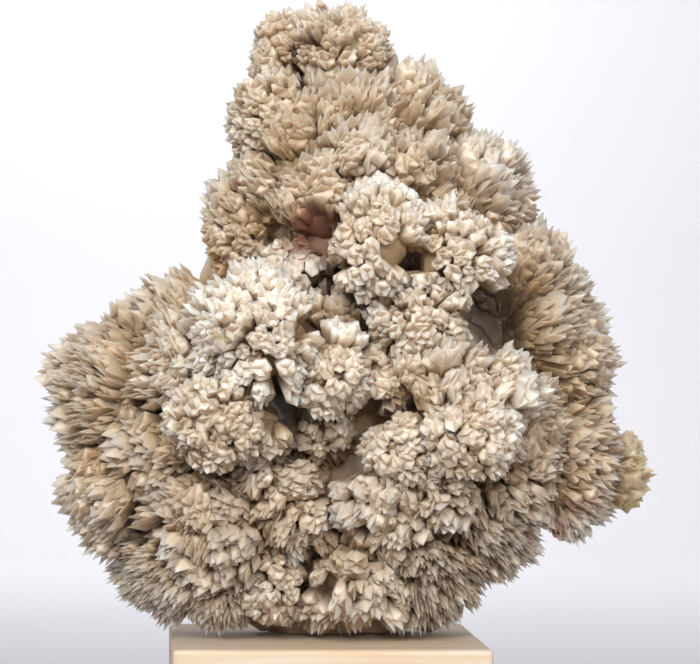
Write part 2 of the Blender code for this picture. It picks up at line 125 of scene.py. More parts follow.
# Each spray: name, heart (x, y, z) in mm, the way it grows, its radius in mm and its habit.
# These are the solid's own sprays.
SPRAYS = (
    ("top_knob", (1.5, -2.0, 144.0), (0.1, -0.45, 0.9), 8.5, "knob"),
    ("top_left_horn", (-11.5, 0.0, 144.5), (-0.75, -0.2, 0.55), 6.0, "knob"),
    ("top_left_second", (-13.5, 1.0, 139.0), (-0.95, -0.25, -0.1), 4.5, "knob"),
    ("top_back", (0.0, 6.0, 141.0), (0.1, 0.7, 0.7), 8.0, "knob"),
    ("upper_left_lobe", (-15.0, -2.0, 130.0), (-0.75, -0.4, 0.35), 7.5, "knob"),
    ("upper_spike_fan", (-5.5, -7.0, 126.5), (-0.25, -0.55, 0.8), 8.0, "fan"),
    ("upper_mid_fan", (4.5, -5.0, 132.5), (0.1, -0.4, 0.9), 8.0, "fan"),
    ("upper_right_fan", (18.5, -1.0, 131.0), (0.5, -0.35, 0.8), 9.0, "fan"),
    ("white_band_fan", (4.0, -11.5, 121.0), (0.0, -0.7, 0.7), 7.5, "fan"),
    ("fan_below_right", (15.0, -10.0, 119.5), (0.3, -0.65, 0.7), 7.5, "fan"),
    ("mid_left_fan", (-3.0, -11.0, 113.0), (-0.25, -0.65, 0.7), 8.0, "fan"),
    ("left_upper", (-18.5, -1.0, 113.5), (-0.7, -0.4, 0.55), 8.0, "fan"),
    ("left_mid_block", (-20.5, 0.0, 104.5), (-0.85, -0.45, 0.1), 6.5, "knob"),
    ("right_lobe", (32.5, 1.0, 117.5), (0.7, -0.3, 0.6), 9.5, "fan"),
    ("right_mid_fan", (23.5, -5.5, 112.5), (0.4, -0.65, 0.6), 8.0, "fan"),
    ("ridge_white", (10.0, -18.0, 108.0), (0.0, -0.75, 0.65), 5.5, "knob"),
    ("knobby_upper", (8.0, -25.0, 99.5), (-0.05, -0.97, 0.1), 7.5, "knob"),
    ("knobby_right", (24.5, -20.5, 96.0), (0.3, -0.9, 0.0), 8.0, "knob"),
    ("right_small", (36.5, 0.0, 107.0), (0.85, -0.4, 0.1), 6.5, "fan"),
    ("wing_upper", (44.5, 2.0, 97.5), (0.7, -0.2, 0.65), 9.0, "fan"),
    ("wing_mid", (48.0, 0.0, 86.5), (0.88, -0.35, 0.3), 9.5, "fan"),
    ("wing_low", (53.0, 2.0, 77.0), (0.95, -0.25, 0.0), 7.5, "fan"),
    ("center_cluster", (17.0, -21.5, 85.0), (0.1, -0.97, 0.1), 7.5, "knob"),
    ("tall_crystal", (0.5, -17.0, 88.0), (0.05, -0.65, 0.75), 5.5, "blade"),
    ("knob_small", (-5.0, -15.0, 95.5), (0.0, -0.8, 0.5), 3.5, "knob"),
    ("knob_far", (-10.0, -9.0, 98.0), (-0.4, -0.7, 0.5), 4.0, "knob"),
    ("hollow_fan", (-3.0, -7.0, 103.0), (-0.2, -0.85, 0.35), 6.5, "fan"),
    ("gap_fan", (13.0, -9.0, 92.0), (0.1, -0.9, 0.3), 6.0, "fan"),
    ("big_white_cluster", (-15.0, -29.0, 81.5), (-0.2, -0.95, 0.15), 9.5, "knob"),
    ("left_shoulder", (-36.0, 3.0, 87.5), (-0.8, -0.25, 0.42), 9.0, "fan"),
    ("pale_front_fan", (-31.0, -15.5, 77.5), (-0.65, -0.7, 0.25), 8.0, "fan"),
    ("big_left_fan", (-50.5, 0.0, 72.5), (-0.95, -0.3, 0.1), 11.5, "fan"),
    ("left_upper_rim", (-46.0, 3.0, 80.0), (-0.85, -0.25, 0.4), 8.0, "fan"),
    ("mid_cluster", (-1.0, -24.0, 75.0), (0.0, -0.97, 0.0), 6.5, "knob"),
    ("center_low", (10.0, -21.0, 74.0), (0.1, -0.95, -0.1), 5.5, "knob"),
    ("crest_fan", (22.0, -22.5, 75.5), (0.15, -0.75, 0.65), 7.5, "fan"),
    ("crest_right", (33.0, -20.0, 71.5), (0.5, -0.75, 0.45), 7.5, "fan"),
    ("fan_right_mid", (40.0, -13.0, 65.0), (0.75, -0.65, 0.05), 7.5, "fan"),
    ("block_front", (25.5, -27.5, 62.0), (0.0, -0.95, -0.15), 6.5, "knob"),
    ("knob_front_left", (-22.5, -28.5, 65.0), (-0.25, -0.95, -0.05), 7.5, "knob"),
    ("fan_left_one", (-38.0, -9.5, 59.5), (-0.8, -0.45, -0.35), 8.5, "fan"),
    ("fan_left_two", (-48.5, -2.0, 50.5), (-0.85, -0.25, -0.45), 9.0, "fan"),
    ("hanging_long", (-14.0, -21.0, 60.5), (0.05, -0.6, -0.8), 6.0, "blade"),
    ("blades_center", (-1.5, -15.0, 62.5), (0.0, -0.75, -0.6), 6.0, "blade"),
    ("knob_mid_low", (13.0, -22.0, 57.5), (-0.2, -0.85, -0.45), 6.5, "knob"),
    ("channel_fan", (-7.0, -11.0, 55.0), (-0.1, -0.9, -0.3), 6.5, "blade"),
    ("low_left_link", (-30.0, -8.0, 50.0), (-0.6, -0.7, -0.3), 7.5, "fan"),
    ("fan_left_low", (-25.5, -16.0, 44.5), (-0.45, -0.8, -0.3), 9.5, "fan"),
    ("fan_center_low", (-9.0, -15.0, 47.0), (0.05, -0.85, -0.45), 9.5, "fan"),
    ("leaf_fan_a", (9.0, -16.5, 46.0), (-0.35, -0.65, -0.65), 8.0, "fan"),
    ("leaf_fan_b", (19.0, -14.0, 49.0), (-0.1, -0.7, -0.7), 8.5, "fan"),
    ("lower_left_lobe", (-38.0, -1.0, 34.0), (-0.75, -0.3, -0.55), 8.5, "fine"),
    ("lower_left_front", (-31.0, -9.0, 33.0), (-0.4, -0.7, -0.55), 7.5, "fine"),
    ("base_left", (-22.5, -9.0, 30.0), (-0.1, -0.65, -0.7), 7.0, "fine"),
    ("base_block", (-11.5, -12.0, 32.0), (0.0, -0.85, -0.45), 6.5, "knob"),
    ("base_center", (4.0, -12.5, 31.5), (0.0, -0.7, -0.65), 8.5, "fan"),
    ("base_right", (20.5, -9.5, 32.5), (0.2, -0.65, -0.65), 8.5, "fine"),
    ("right_low_fan", (53.0, 0.0, 58.5), (0.9, -0.35, -0.1), 9.5, "fan"),
    ("right_low_fan_two", (39.5, -6.0, 52.5), (0.55, -0.7, -0.45), 8.5, "fan"),
    ("right_edge_yellow", (61.5, 8.0, 56.0), (0.97, 0.1, 0.0), 6.0, "fan"),
    ("right_low_edge", (51.0, 3.0, 47.0), (0.65, -0.25, -0.7), 5.5, "fine"),
    ("low_right_margin", (32.0, -3.5, 39.0), (0.5, -0.4, -0.75), 8.5, "fine"),
    ("back_upper_left", (-14.0, 10.0, 122.0), (-0.6, 0.7, 0.4), 8.0, "fan"),
    ("back_upper_right", (22.0, 9.0, 122.0), (0.5, 0.75, 0.4), 8.5, "fan"),
    ("back_right", (40.0, 11.0, 98.0), (0.6, 0.75, 0.2), 9.0, "fan"),
    ("back_left", (-34.0, 12.0, 82.0), (-0.6, 0.75, 0.2), 9.5, "fan"),
    ("back_left_low", (-42.0, 10.0, 56.0), (-0.75, 0.6, -0.2), 9.0, "fan"),
    ("back_right_low", (48.0, 11.0, 72.0), (0.7, 0.7, 0.0), 9.0, "fan"),
    ("back_base_left", (-24.0, 8.0, 34.0), (-0.5, 0.6, -0.6), 7.5, "fine"),
    ("back_base_right", (26.0, 8.0, 36.0), (0.5, 0.6, -0.6), 7.5, "fine"),
    ("gap_right", (32.0, 3.0, 86.5), (0.2, -0.95, 0.1), 6.5, "fan"),
    ("gap_base", (-3.0, -6.0, 29.5), (0.0, -0.75, -0.65), 6.5, "fine"),
    ("back_top", (1.0, 6.5, 131.0), (0.0, 0.95, 0.3), 8.0, "rough"),
    ("back_neck", (4.0, 8.0, 114.0), (0.1, 0.98, 0.0), 9.0, "rough"),
    ("back_upper_one", (-11.0, 9.0, 101.0), (-0.2, 0.97, 0.1), 8.5, "rough"),
    ("back_upper_two", (19.0, 8.5, 99.0), (0.2, 0.97, 0.0), 9.0, "rough"),
    ("back_middle_one", (-21.0, 9.0, 85.0), (-0.2, 0.97, 0.0), 9.0, "rough"),
    ("back_middle_two", (2.0, 10.0, 86.0), (0.0, 0.99, 0.1), 9.5, "rough"),
    ("back_middle_three", (26.0, 9.5, 82.0), (0.2, 0.97, 0.0), 9.0, "rough"),
    ("back_lower_one", (-24.0, 9.5, 64.0), (-0.2, 0.97, -0.1), 9.5, "rough"),
    ("back_lower_two", (0.0, 10.5, 66.0), (0.0, 0.99, 0.0), 9.5, "rough"),
    ("back_lower_three", (24.0, 10.0, 62.0), (0.1, 0.98, -0.1), 9.5, "rough"),
    ("back_foot_one", (-13.0, 9.0, 46.0), (-0.1, 0.98, -0.1), 9.0, "rough"),
    ("back_foot_two", (9.0, 9.5, 45.0), (0.1, 0.98, -0.1), 9.0, "rough"),
    ("back_foot_three", (0.0, 7.0, 31.0), (0.0, 0.9, -0.4), 7.0, "rough"),
)

# How white each habit's tips are, and the sprays that differ from their habit
FROST = {"fan": 0.28, "knob": 0.66, "fine": 0.30, "blade": 0.5, "rough": 0.1}
OWN_FROST = {
    "big_white_cluster": 1.9, "ridge_white": 1.4, "gap_right": 0.0, "gap_base": 0.0, "hollow_fan": 0.1, "gap_fan": 0.1,
    "upper_spike_fan": 0.15, "mid_left_fan": 0.2, "left_upper": 0.2,
     "center_cluster": 0.9, "mid_cluster": 0.8, "knobby_right": 0.75,
    "right_lobe": 0.9, "right_mid_fan": 0.6, "white_band_fan": 0.8, "top_knob": 0.4, "top_left_horn": 0.35,
    "top_left_second": 0.3, "upper_left_lobe": 0.45, "left_mid_block": 0.4, "pale_front_fan": 0.7,
    "crest_fan": 0.7, "crest_right": 0.8, "leaf_fan_a": 0.7, "fan_center_low": 0.6, "base_center": 0.6,
    "top_back": 0.4, "knob_far": 0.7, "knob_mid_low": 0.55, "center_low": 0.8,
}

# A spray is made of smaller tufts: how many, the least and greatest share of the spray's reach, how far
# their crystals turn towards the tuft's middle and how much shorter they are at its edge
TUFTS = {"fan": 9, "knob": 12, "fine": 9, "blade": 5, "rough": 6}
TUFT_REACH = (0.88, 1.10)
TUFT_PULL = 0.12
TUFT_DOME = 0.6
# How far a crystal leans from its own ray to the way that its spray grows, and about which share of its length
LEAN = {"fan": 0.40, "knob": 0.12, "fine": 0.36, "blade": 0.50, "rough": 0.12}
LEAN_PIVOT = 0.6
# Round a spray's rim the crystals go on over this angle, ever shorter, to this share of their length less
RIM_SPAN = math.radians(24.0)
RIM_FALL = 0.42
# Crystals are this much wider than their spacing, so that neighbours grow into each other
OVERLAP = 1.34
# A spray covers what lies within these shares of its reach and of its widest angle, and a lump what lies
# within this share of its squared size. A crystal is left out where it is covered at this share of its length
COVER_REACH, COVER_ANGLE, COVER_LUMP, COVER_AT = 0.74, 0.85, 0.8, 0.92
# A crystal that would pass the solid's box is shortened by this much for each millimetre past it
PAST_BOX = 1.4
SHADE_REACH = 12.0
SHADE_SMOOTHING = 5

# Every stem runs back to the middle of the mass at least
MASS_MIDDLE = 3.0

# The rough mass behind the sprays: middle (x, y, z) and half sizes (x, y, z) of each lump, in mm
LUMPS = (
    ((2.0, 5.0, 132.0), (13.0, 8.0, 17.0)),
    ((8.0, 6.0, 110.0), (27.0, 11.0, 19.0)),
    ((3.0, 7.0, 82.0), (40.0, 11.0, 18.0)),
    ((3.0, 8.0, 58.0), (45.0, 10.0, 20.0)),
    ((1.0, 5.0, 38.0), (32.0, 11.0, 18.0)),
    ((-12.0, -4.0, 72.0), (14.0, 9.0, 14.0)),
    ((18.0, -4.0, 72.0), (18.0, 8.0, 18.0)),
    ((0.0, -3.0, 52.0), (20.0, 8.0, 14.0)),
    ((2.0, 9.0, 121.0), (13.0, 7.5, 20.0)),
    ((-13.0, 10.5, 95.0), (15.0, 9.0, 21.0)),
    ((17.0, 11.0, 71.0), (17.0, 9.5, 23.0)),
    ((-9.0, 10.0, 47.0), (18.0, 9.5, 21.0)),
)

# Open hollows between the sprays, seen from the front: middle (x, z) and half sizes (x, z), in mm
HOLLOWS = (
    ((-4.4, 142.0), (2.4, 2.2)),
    ((-3.4, 102.9), (5.0, 4.2)),
    ((-1.5, 92.6), (3.0, 2.8)),
    ((14.7, 95.4), (4.6, 4.0)),
    ((30.8, 86.1), (5.0, 5.6)),
    ((-3.7, 82.2), (3.4, 3.8)),
    ((-9.7, 71.5), (2.6, 3.6)),
    ((-9.9, 64.5), (2.8, 5.0)),
    ((8.7, 67.1), (2.4, 2.2)),
    ((4.7, 42.4), (2.4, 2.4)),
    ((-38.0, 45.5), (3.6, 1.8)),
    ((-3.2, 31.5), (3.2, 4.6)),
    ((-34.7, 68.7), (2.6, 2.4)),
)
HOLLOW_BACK = 3.0

# The mass is made in four pieces, each of the sprays and lumps whose middles lie in its height range, mm
REGIONS = (
    ("calcite_upper", 96.0, 200.0),
    ("calcite_middle", 61.0, 96.0),
    ("calcite_lower", 45.5, 61.0),
    ("calcite_foot", 0.0, 45.5),
)

# Each crystal ends in a leading tip and two lesser ones grown beside it. Sizes are shares of its length
# (along z) and width (across): where it is widest, how far every second corner of its shoulder is raised,
# how far the middle of its crown is raised, how flat it is, and each tip's height and distance out
CRYSTALS = {
    "pointed": {
        "shoulder": 0.85, "zigzag": 0.030, "crown": 0.04, "flat": 0.80,
        "tips": ((1.00, 0.14), (0.93, 0.36), (0.90, 0.40)),
    },
    "steep": {
        "shoulder": 0.81, "zigzag": 0.040, "crown": 0.05, "flat": 0.88,
        "tips": ((1.00, 0.06), (0.89, 0.32), (0.94, 0.28)),
    },
    "blade": {
        "shoulder": 0.84, "zigzag": 0.020, "crown": 0.04, "flat": 0.50,
        "tips": ((1.00, 0.20), (0.93, 0.36), (0.88, 0.42)),
    },
    "stub": {
        "shoulder": 0.88, "zigzag": 0.035, "crown": 0.03, "flat": 0.94,
        "tips": ((1.00, 0.24), (0.97, 0.30), (0.95, 0.34)),
    },
    "crumb": {
        "shoulder": 0.87, "zigzag": 0.050, "crown": 0.01, "flat": 0.86,
        "tips": ((0.98, 0.32), (1.00, 0.28), (0.94, 0.36)),
    },
    "needle": {
        "shoulder": 0.74, "zigzag": 0.030, "crown": 0.08, "flat": 0.88,
        "tips": ((1.00, 0.12), (0.94, 0.30), (0.89, 0.32)),
    },
}
SIDES = 6
# The share of a crystal's length that lies inside its spray's body, so is left out
BURIED_SHARE = 0.50

# The crystals that each habit grows, as often as they are named
HABIT_CRYSTALS = {
    "fan": ("pointed", "blade", "steep"),
    "knob": ("stub", "crumb", "pointed", "crumb"),
    "fine": ("needle", "steep"),
    "blade": ("blade", "steep"),
    "rough": ("crumb", "stub"),
}


# Stains and painted shade on the calcite: colour, how strong, and each patch's middle (x, y, z) and radius in mm
STAINS_AND_SHADE = {
    # Near-black patches in the open spaces between the sprays: painted shade, partly a real iron stain
    "hollow": (
        "#3E2A1A", 0.90,
        (
            (14.9, -11.0, 95.7, 7.0), (31.9, -4.0, 86.7, 10.0), (-3.9, -12.0, 82.7, 7.5), (-10.0, -15.0, 72.5, 6.0),
            (-10.2, -15.0, 66.5, 7.0), (-10.2, -15.0, 61.0, 7.0), (8.9, -16.0, 67.6, 4.5), (4.8, -12.0, 42.0, 5.0),
            (-3.4, -9.0, 31.5, 7.0), (-38.4, -6.0, 45.5, 5.5), (-35.0, -11.0, 68.7, 5.5), (-1.6, -13.0, 93.0, 6.0),
            (-4.4, -6.0, 141.2, 3.2), (28.0, -4.0, 92.0, 5.0), (20.0, -12.0, 60.0, 4.0), (-9.5, -20.5, 68.0, 4.5),
            (3.0, -19.5, 57.2, 4.5), (9.5, -19.5, 67.5, 3.5),
        ),
    ),
    "orange": ("#A97B42", 0.75, ((-26.0, -1.0, 98.5, 6.5), (63.0, 7.0, 61.5, 3.5))),
    "yellow": ("#C9B578", 0.65, ((65.0, 7.0, 56.0, 8.0), (64.0, 6.0, 49.0, 5.0))),
    "red_brown": (
        "#7E4A3C", 0.80,
        ((45.3, -4.0, 43.0, 4.0), (40.0, -5.0, 42.5, 3.5), (50.8, -4.0, 49.9, 3.5), (-3.6, -12.0, 103.2, 8.0)),
    ),
    # Stains, except the patches at (1.3, -14, 56), painted shade on a shaded crystal, and at (-4.4, -5, 141.2),
    # painted shade in a hole at the top
    "brown": (
        "#6B4A2B", 0.85,
        (
            (-24.0, -27.0, 60.0, 5.0), (-19.0, -27.0, 60.5, 4.5), (-4.4, -5.0, 141.2, 4.0), (1.3, -14.0, 56.0, 7.0),
            (-2.4, -9.0, 148.0, 1.3), (3.6, -10.0, 146.2, 1.4), (1.4, -11.0, 143.8, 1.3), (6.8, -9.0, 143.2, 1.3),
        ),
    ),
    "olive": (
        "#8A7444", 0.80,
        (
            (-11.9, -6.0, 134.5, 2.4), (-14.0, -6.0, 128.2, 2.2), (-18.7, -5.0, 132.2, 2.4), (-20.3, -37.0, 80.7, 2.4),
            (-14.8, -37.0, 76.6, 2.4), (-28.2, -33.0, 65.3, 2.0), (-40.6, -8.0, 25.2, 2.2), (-8.0, -8.0, 118.0, 5.0),
        ),
    ),
}


def linear(text):
    """An sRGB hex colour as linear values."""
    values = [int(text[i : i + 2], 16) / 255.0 for i in (1, 3, 5)]
    return tuple(v / 12.92 if v <= 0.04045 else ((v + 0.055) / 1.055) ** 2.4 for v in values)


class CalciteSettings(bpy.types.PropertyGroup):
    fan_spacing: FloatProperty(
        name="Fan spacing",
        description="Distance between crystals at the tips of a fan",
        default=2.95 * MM,
        unit="LENGTH",
    )
    knob_spacing: FloatProperty(
        name="Knob spacing",
        description="Distance between crystals on a blunt knob",
        default=2.6 * MM,
        unit="LENGTH",
    )
    fine_spacing: FloatProperty(
        name="Fine spacing",
        description="Distance between crystals on a fine spray",
        default=2.1 * MM,
        unit="LENGTH",
    )
    rough_spacing: FloatProperty(
        name="Rough spacing",
        description="Distance between the blunt crystals on the rough back",
        default=4.2 * MM,
        unit="LENGTH",
    )
    length_spread: FloatProperty(
        name="Length spread",
        description="How much shorter the shortest crystals of a spray are, as a share",
        default=0.16,
        subtype="FACTOR",
    )
    light_rays: IntProperty(
        name="Light rays",
        description="How many rays find how open each corner lies",
        default=5,
        min=4,
    )
    tip_colour: FloatVectorProperty(
        name="Tip colour",
        description="Milky calcite where it is open to the light",
        default=linear("#E6DCCD"),
        subtype="COLOR",
    )
    # Partly a real warm stain, partly painted shade between the crystals at their roots
    root_stain_and_shade_colour: FloatVectorProperty(
        name="Root colour",
        description="Calcite stained warm between the crystals",
        default=linear("#A98D6A"),
        subtype="COLOR",
    )
    # Partly a real stain, partly painted shade: the colour painted on corners that lie deep between the sprays, where
    # shade falls
    crevice_stain_and_shade_colour: FloatVectorProperty(
        name="Crevice colour",
        description="Brown film deep between the sprays",
        default=linear("#523A24"),
        subtype="COLOR",
    )


class StandSettings(bpy.types.PropertyGroup):
    wood_colour: FloatVectorProperty(
        name="Wood colour",
        description="Pale sawn wood between its growth rings",
        default=linear("#D5C7B4"),
        subtype="COLOR",
    )
    grain_colour: FloatVectorProperty(
        name="Grain colour",
        description="Darker late wood in the growth rings",
        default=linear("#CDB28E"),
        subtype="COLOR",
    )


class StageSettings(bpy.types.PropertyGroup):
    backdrop_colour: FloatVectorProperty(
        name="Backdrop colour",
        description="Pale sweep under and behind the specimen",
        default=linear("#F0EFF2"),
        subtype="COLOR",
    )
    key_power: FloatProperty(
        name="Key power",
        description="Power of the soft light beside the camera",
        default=1.95,
        unit="POWER",
    )


def deselect_all():
    """Leave nothing selected, so that an operator acts on its own object alone."""
    for obj in bpy.context.selected_objects:
        obj.select_set(False)


def make_active(obj):
    deselect_all()
    obj.select_set(True)
    bpy.context.view_layer.objects.active = obj


def select_verts(obj, wanted):
    """In edit mode, select the vertices whose place passes a test."""
    bm = bmesh.from_edit_mesh(obj.data)
    for face in bm.faces:
        face.select_set(False)
    for vert in bm.verts:
        vert.select_set(wanted(vert.co))
    bm.select_flush(True)
    bmesh.update_edit_mesh(obj.data)


def model_crystal(name, shape):
    """A unit crystal: cut off inside its spray's body, widest at its shoulder, its crown drawn up into three tips."""
    shoulder = shape["shoulder"]
    deselect_all()
    bpy.ops.mesh.primitive_cone_add(
        vertices=SIDES,
        radius1=0.5 * BURIED_SHARE / shoulder,
        radius2=0.5,
        depth=shoulder - BURIED_SHARE,
        location=(0.0, 0.0, 0.5 * (shoulder + BURIED_SHARE)),
    )
    obj = bpy.context.object
    obj.name = name
    bpy.ops.object.transform_apply(location=True, rotation=True, scale=True)
    bpy.ops.object.mode_set(mode="EDIT")
    bpy.ops.mesh.select_mode(type="VERT")
    select_verts(obj, lambda co: co.z > shoulder - 1e-4)
    bpy.ops.mesh.poke()
    third = 2.0 * math.pi / 3.0
    bpy.ops.mesh.select_mode(type="EDGE")
    bm = bmesh.from_edit_mesh(obj.data)
    for edge in bm.edges:
        ends = sorted(edge.verts, key=lambda vert: vert.co.to_2d().length)
        angle = math.atan2(ends[1].co.y, ends[1].co.x) + 0.1
        spoke = ends[0].co.to_2d().length < 1e-4 and ends[0].co.z > shoulder - 1e-4
        edge.select_set(spoke and angle % third < 0.5 * third)
    bmesh.update_edit_mesh(obj.data)
    bpy.ops.mesh.dissolve_edges(use_verts=False)
    bpy.ops.mesh.select_mode(type="VERT")
    select_verts(obj, lambda co: co.z > shoulder - 1e-4)
    bpy.ops.mesh.poke()
    bpy.ops.mesh.select_all(action="DESELECT")
    bm = bmesh.from_edit_mesh(obj.data)
    top = [vert for vert in bm.verts if vert.co.z > shoulder - 1e-4]
    middle = min(top, key=lambda vert: vert.co.to_2d().length)
    ring = [vert for vert in top if vert.co.to_2d().length > 0.45]
    crown = sorted(
        (vert for vert in top if vert is not middle and vert not in ring),
        key=lambda vert: math.atan2(vert.co.y, vert.co.x),
    )
    for vert, (height, distance) in zip(crown, shape["tips"]):
        vert.co = Vector((*(vert.co.to_2d().normalized() * distance), height))
    middle.co.z += shape["crown"]
    for vert in ring:
        if (math.atan2(vert.co.y, vert.co.x) + 0.1) % third < 0.5 * third:
            vert.co.z += shape["zigzag"]
    bmesh.update_edit_mesh(obj.data)
    bpy.ops.mesh.select_all(action="SELECT")
    bpy.ops.transform.resize(value=(1.0, shape["flat"], 1.0))
    bpy.ops.mesh.quads_convert_to_tris()
    bpy.ops.mesh.normals_make_consistent(inside=False)
    bpy.ops.object.mode_set(mode="OBJECT")
    mark_growth(obj)
    obj.hide_render = True
    return obj


def copy_of(template, name, matrix, collection):
    """A copy of a finished mesh object with its own mesh, put in its place."""
    obj = template.copy()
    obj.data = template.data.copy()
    obj.data.transform(matrix)
    obj.name = name
    collection.objects.link(obj)
    return obj


def remove(objects):
    for obj in list(objects):
        mesh = obj.data
        bpy.data.objects.remove(obj)
        bpy.data.meshes.remove(mesh)


def grow_together(base, others, collection):
    """Join every object of a list on to a base object as one closed skin, and remove the list's objects."""
    union = base.modifiers.new("grown_together", "BOOLEAN")
    union.operation = "UNION"
    union.operand_type = "COLLECTION"
    union.collection = collection
    union.solver = SOLVER
    make_active(base)
    bpy.ops.object.modifier_apply(modifier=union.name)
    remove(others)


def mark_growth(obj):
    """Keep how far out along its crystal each corner lies, from 0 at the root to 1 at the tip."""
    mesh = obj.data
    heights = np.zeros(len(mesh.vertices) * 3, np.float32)
    mesh.vertices.foreach_get("co", heights)
    growth = mesh.attributes.new("growth", "FLOAT", "POINT")
    growth.data.foreach_set("value", np.clip(heights[2::3], 0.0, 1.0))
    tone = mesh.attributes.new("tone", "FLOAT", "FACE")
    tone.data.foreach_set("value", np.full(len(mesh.polygons), 0.5, np.float32))


def model_core(name):
    """A unit body, to which a spray's crystals and stem are joined."""
    deselect_all()
    bpy.ops.mesh.primitive_uv_sphere_add(segments=10, ring_count=7, radius=1.0)
    obj = bpy.context.object
    obj.name = name
    mark_growth(obj)
    obj.data.attributes["growth"].data.foreach_set("value", np.zeros(len(obj.data.vertices), np.float32))
    obj.hide_render = True
    return obj


def spray_facts(spray):
    """A spray's root, direction, reach and widest angle, in mm."""
    name, heart, way, radius, habit_name = spray
    habit = HABITS[habit_name]
    direction = Vector(way).normalized()
    reach = habit["reach"] * radius
    return {
        "name": name,
        "heart": Vector(heart),
        "direction": direction,
        "radius": radius,
        "habit": habit_name,
        "reach": reach,
        "root": Vector(heart) - direction * (reach - radius),
        "open": math.radians(habit["open"]),
        "stem": habit["stem"] * radius,
    }


def buried(point, facts, own):
    """True where another spray's solid part, or a lump, covers a point."""
    for other in facts:
        if other is own:
            continue
        away = point - other["root"]
        distance = away.length
        aside = away.angle(other["direction"], 0.0)
        if distance < COVER_REACH * other["reach"] and aside < COVER_ANGLE * other["open"]:
            return True
    for middle, half_sizes in LUMPS:
        inside = sum(((p - m) / h) ** 2 for p, m, h in zip(point, middle, half_sizes))
        if inside < COVER_LUMP:
            return True
    return False


def in_hollow(tip):
    """True where a crystal's tip would close one of the open hollows."""
    if tip.y > HOLLOW_BACK:
        return False
    return any(
        ((tip.x - x) / half_x) ** 2 + ((tip.z - z) / half_z) ** 2 < 1.0 for (x, z), (half_x, half_z) in HOLLOWS
    )


def spray_rays(own, spacing, generator):
    """Evenly spread ways out from a spray's root, near enough to leave no gap at its tips."""
    share = 1.0 - math.cos(own["open"] + RIM_SPAN)
    count = int(2.0 * math.pi * own["reach"] ** 2 * share / (0.866 * spacing**2))
    golden = math.pi * (3.0 - math.sqrt(5.0))
    turn = own["direction"].to_track_quat("Z", "Y")
    start = generator.uniform(0.0, 2.0 * math.pi)
    wander = 0.33 * spacing / own["reach"]
    for index in range(count):
        height = 1.0 - share * (index + 0.5) / count
        angle = start + golden * index
        flat = math.sqrt(max(0.0, 1.0 - height * height))
        ray = Vector((flat * math.cos(angle), flat * math.sin(angle), height))
        ray += Vector([generator.gauss(0.0, wander) for _ in range(3)])
        yield turn @ ray.normalized()


def tuft_ways(own, generator):
    """The middles of the smaller tufts that a spray is made of: a way, its share of the reach and its turn."""
    count = TUFTS[own["habit"]]
    share = 1.0 - math.cos(own["open"])
    turn = own["direction"].to_track_quat("Z", "Y")
    golden = math.pi * (3.0 - math.sqrt(5.0))
    start = generator.uniform(0.0, 2.0 * math.pi)
    tufts = []
    for index in range(count):
        height = 1.0 - share * (index + 0.4) / count
        angle = start + golden * index + generator.uniform(-0.3, 0.3)
        flat = math.sqrt(max(0.0, 1.0 - height * height))
        way = turn @ Vector((flat * math.cos(angle), flat * math.sin(angle), height))
        tufts.append((way, generator.uniform(*TUFT_REACH), generator.uniform(0.0, 2.0 * math.pi)))
    return tufts


def crystal_matrix(start, way, twist, width, length):
    """Where a unit crystal goes: from start, in mm, along a way."""
    turn = way.to_track_quat("Z", "Y") @ Quaternion((0.0, 0.0, 1.0), twist)
    return (
        Matrix.Translation(start * MM)
        @ turn.to_matrix().to_4x4()
        @ Matrix.Diagonal((width * MM, width * MM, length * MM, 1.0))
    )


def place_crystal(start, axis, twist, width, length, tone, crystal, name, collection):
    """Copy one crystal on to a spray."""
    obj = copy_of(crystal, name, crystal_matrix(start, axis, twist, width, length), collection)
    obj.data.attributes["tone"].data.foreach_set("value", np.full(len(obj.data.polygons), tone, np.float32))
    return obj


def place_crystals(own, facts, crystals, settings, generator, collection):
    """Copy crystals on to one spray, in tufts."""
    habit = own["habit"]
    spacings = {"knob": settings.knob_spacing, "fine": settings.fine_spacing, "rough": settings.rough_spacing}
    spacing = spacings.get(habit, settings.fan_spacing) / MM
    low, high = Vector(CAD_LOW) / MM, Vector(CAD_HIGH) / MM
    tufts = tuft_ways(own, generator)
    made = []
    for index, even_ray in enumerate(spray_rays(own, spacing, generator)):
        way, tuft_reach, tuft_turn = max(tufts, key=lambda tuft: tuft[0].dot(even_ray))
        aside = way.angle(even_ray, 0.0) / own["open"]
        ray = even_ray.lerp(way, TUFT_PULL).normalized()
        outward = even_ray.angle(own["direction"], 0.0)
        past = max(0.0, outward - own["open"]) / RIM_SPAN
        draw = generator.random()
        length = own["reach"] * tuft_reach * (1.0 - TUFT_DOME * aside * aside) * (1.0 - RIM_FALL * past)
        length *= 1.0 - settings.length_spread * draw * draw
        twist = tuft_turn + generator.gauss(0.0, 0.4)
        grown = generator.uniform(0.75, 1.35)
        tone = generator.random()
        kind = HABIT_CRYSTALS[habit][generator.randrange(len(HABIT_CRYSTALS[habit]))]
        tip = own["root"] + ray * length
        over = max(max(a - b for a, b in zip(low, tip)), max(b - a for a, b in zip(high, tip)), 0.0)
        length -= PAST_BOX * over
        tip = own["root"] + ray * length
        if tip.z < STAND_TOP / MM or in_hollow(tip):
            continue
        if buried(own["root"] + ray * (COVER_AT * length), facts, own):
            continue
        shape = CRYSTALS[kind]
        width = OVERLAP * spacing * shape["shoulder"] * grown / math.sqrt(shape["flat"])
        name = f"{own['name']}_{index}"
        axis = ray.lerp(own["direction"], LEAN[habit]).normalized()
        start = own["root"] + (ray - axis) * (LEAN_PIVOT * length)
        made.append(place_crystal(start, axis, twist, width, length, tone, crystals[kind], name, collection))
    return made


